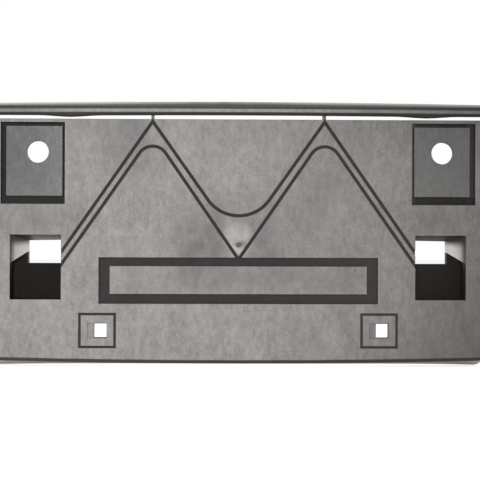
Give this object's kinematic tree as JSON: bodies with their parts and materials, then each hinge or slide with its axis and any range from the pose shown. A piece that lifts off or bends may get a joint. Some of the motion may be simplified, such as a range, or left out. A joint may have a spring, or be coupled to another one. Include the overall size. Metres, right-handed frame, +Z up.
{
  "type": "number plate holder",
  "caption": "Flat moulded bracket that carries a number plate in front of a bumper, with a top lip, bolt pads, side windows and zigzag grooves.",
  "frame": {"origin": "midway between the two bumper bolts, on the floor of their pads", "axes": "+X to the right of someone who faces the plate, +Y back to the bumper along the bolts, +Z up"},
  "size_m": [0.3206, 0.0308, 0.1674],
  "materials": {
    "moulding": "fine-grained mid grey moulded plastic, darker in its channels"
  },
  "bodies": {
    "root": {"plate_holder": "moulding"}
  },
  "joints": []
}
